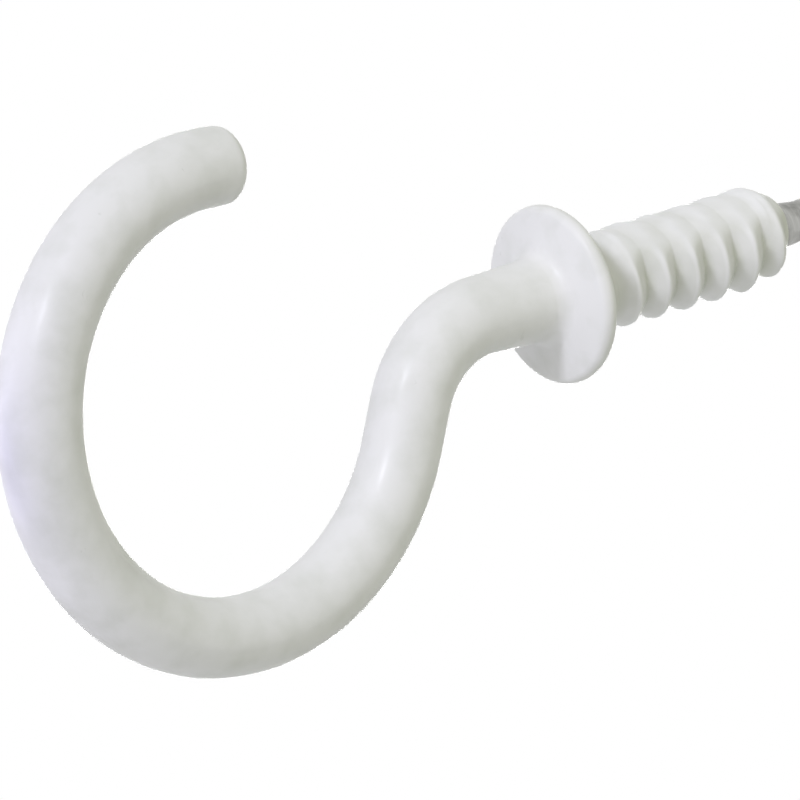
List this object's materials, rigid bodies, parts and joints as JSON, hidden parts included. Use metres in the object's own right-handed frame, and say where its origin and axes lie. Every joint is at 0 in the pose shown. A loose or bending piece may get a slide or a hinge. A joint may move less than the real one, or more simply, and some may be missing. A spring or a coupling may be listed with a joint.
{
  "type": "cup hook",
  "caption": "Vinyl-coated screw-in cup hook: a round open hook of bent steel wire with a round seating collar and a coated wood-screw thread.",
  "frame": {"origin": "centre of the seat, the flat ring at the back of the coated collar", "axes": "+Z along the screw towards its point, the hook hangs below in the XZ plane, with its neck bent towards +X and its open end at -X"},
  "size_m": [0.0307, 0.0102, 0.062],
  "materials": {
    "bare_steel": "drawn, dull",
    "collar_steel": "pressed, plain",
    "white_vinyl": "dipped, smooth semi-gloss"
  },
  "bodies": {
    "root": {"steel_hook": "bare_steel", "collar": "collar_steel", "vinyl_coating": "white_vinyl"}
  },
  "joints": []
}
